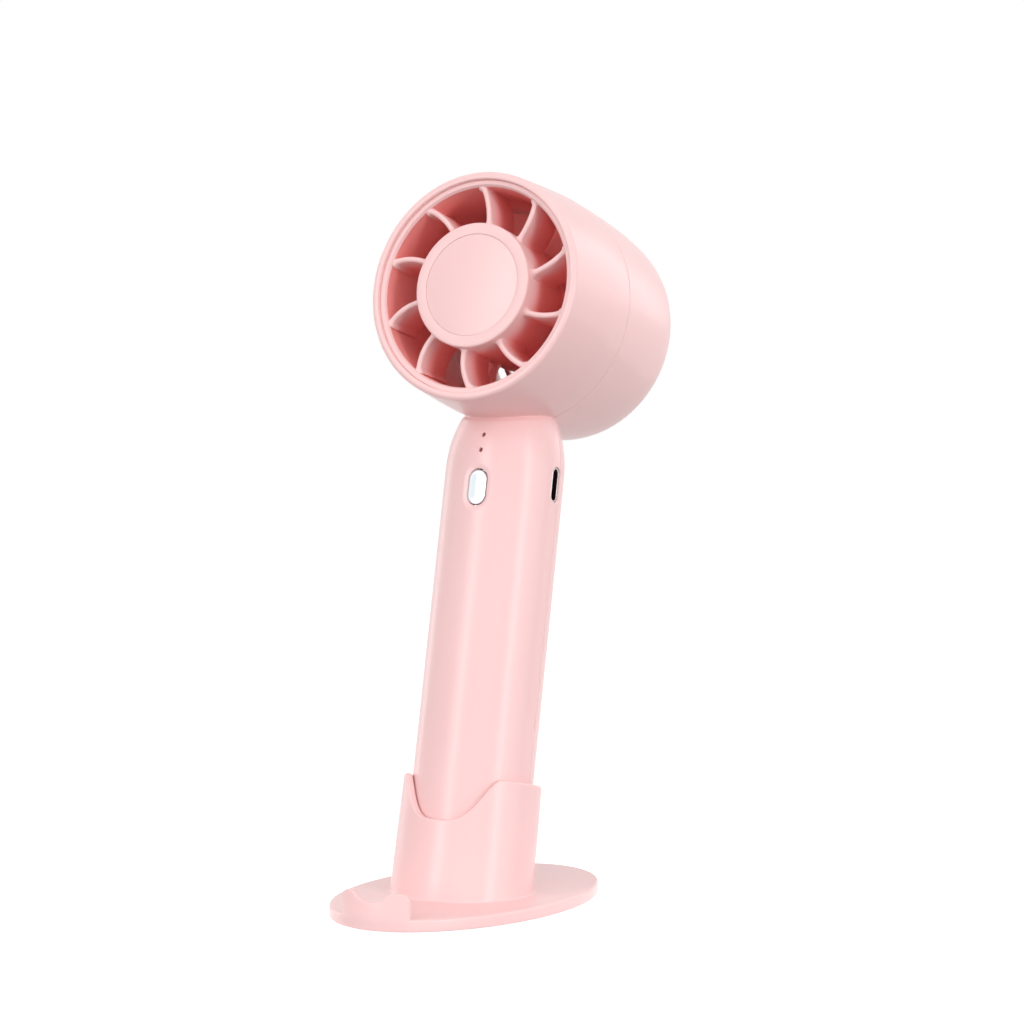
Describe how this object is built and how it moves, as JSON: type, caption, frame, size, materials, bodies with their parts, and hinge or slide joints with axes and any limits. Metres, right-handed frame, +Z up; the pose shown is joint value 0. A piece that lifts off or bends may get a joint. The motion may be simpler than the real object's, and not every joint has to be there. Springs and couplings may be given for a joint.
{
  "type": "handheld electric fan",
  "caption": "Handheld turbo fan with a barrel head, fixed outlet guide vanes and an oval handle, standing in a leaning cup on an oval table stand with a phone stop.",
  "frame": {"origin": "centre of the stand's foot pad, on the table", "axes": "+Z up, -Y the way the air blows, +X to the side that has the charging socket"},
  "size_m": [0.0628, 0.1122, 0.1874],
  "materials": {
    "shell_pink": "satin moulded ABS, pale pink",
    "stand_pink": "satin moulded ABS, pale pink",
    "impeller_pink": "satin moulded ABS, pink",
    "plug_pink": "soft matt silicone, pink",
    "foot_pad": "matt silicone with a fine grain",
    "button_chrome": "bright plated plastic",
    "switch_black": "black nylon",
    "light_guide": "clear acrylic",
    "led_lens": "clear resin over phosphor",
    "usb_steel": "drawn stainless steel",
    "board_green": "green solder mask",
    "chip_black": "moulded epoxy",
    "ferrite": "pressed ferrite",
    "capacitor_tan": "fired ceramic",
    "screw_steel": "zinc plated steel",
    "motor_steel": "nickel plated steel",
    "magnet_grey": "bonded magnet, dark grey",
    "stator_steel": "stacked laminations",
    "copper_wire": "enamelled copper",
    "brass": "turned brass",
    "cell_wrap": "metal can in a blue heat-shrink sleeve",
    "tab_nickel": "nickel strip",
    "pad_foam": "black foam",
    "lead_red": "red silicone insulation",
    "lead_black": "black silicone insulation",
    "lead_white": "white silicone insulation"
  },
  "bodies": {
    "stand": {"stand": "stand_pink", "foot_pad": "foot_pad"},
    "fan": {"front_shell": "shell_pink", "rear_shell": "shell_pink", "vane_ring": "shell_pink", "hub_cap": "shell_pink", "rear_grille": "shell_pink", "bearing_holder": "brass", "motor_bearings": "motor_steel", "motor_stator": "stator_steel", "motor_windings": "copper_wire", "motor_board": "board_green", "motor_screws": "screw_steel", "tact_switch": "switch_black", "light_guide": "light_guide", "indicator_leds": "led_lens", "usb_shell": "usb_steel", "usb_tongue": "chip_black", "control_board": "board_green", "board_chips": "chip_black", "board_inductor": "ferrite", "board_capacitors": "capacitor_tan", "board_screws": "screw_steel", "battery_cell": "cell_wrap", "battery_tabs": "tab_nickel", "battery_pads": "pad_foam", "positive_lead": "lead_red", "negative_lead": "lead_black", "motor_leads": "lead_white", "shell_screws": "screw_steel", "screw_plugs": "plug_pink"},
    "button": {"power_button": "button_chrome", "switch_plunger": "switch_black"},
    "rotor": {"impeller": "impeller_pink", "rotor_can": "motor_steel", "motor_magnet": "magnet_grey", "motor_shaft": "motor_steel", "shaft_clip": "motor_steel"}
  },
  "joints": [
    {"name": "fan_lift", "type": "slide", "parent": "stand", "child": "fan", "axis": [0, 0.2079, 0.9781], "range_m": [0, 0.04]},
    {"name": "button_press", "type": "slide", "parent": "fan", "child": "button", "axis": [0, 0.9781, -0.2079], "range_m": [0, 0.0005], "stiffness_N_per_m": 1500, "springref_m": -0.0003},
    {"name": "impeller_spin", "type": "hinge", "parent": "fan", "child": "rotor", "pos_m": [0, 0.02899, 0.15269], "axis": [0, 0.9781, -0.2079], "continuous": true}
  ]
}
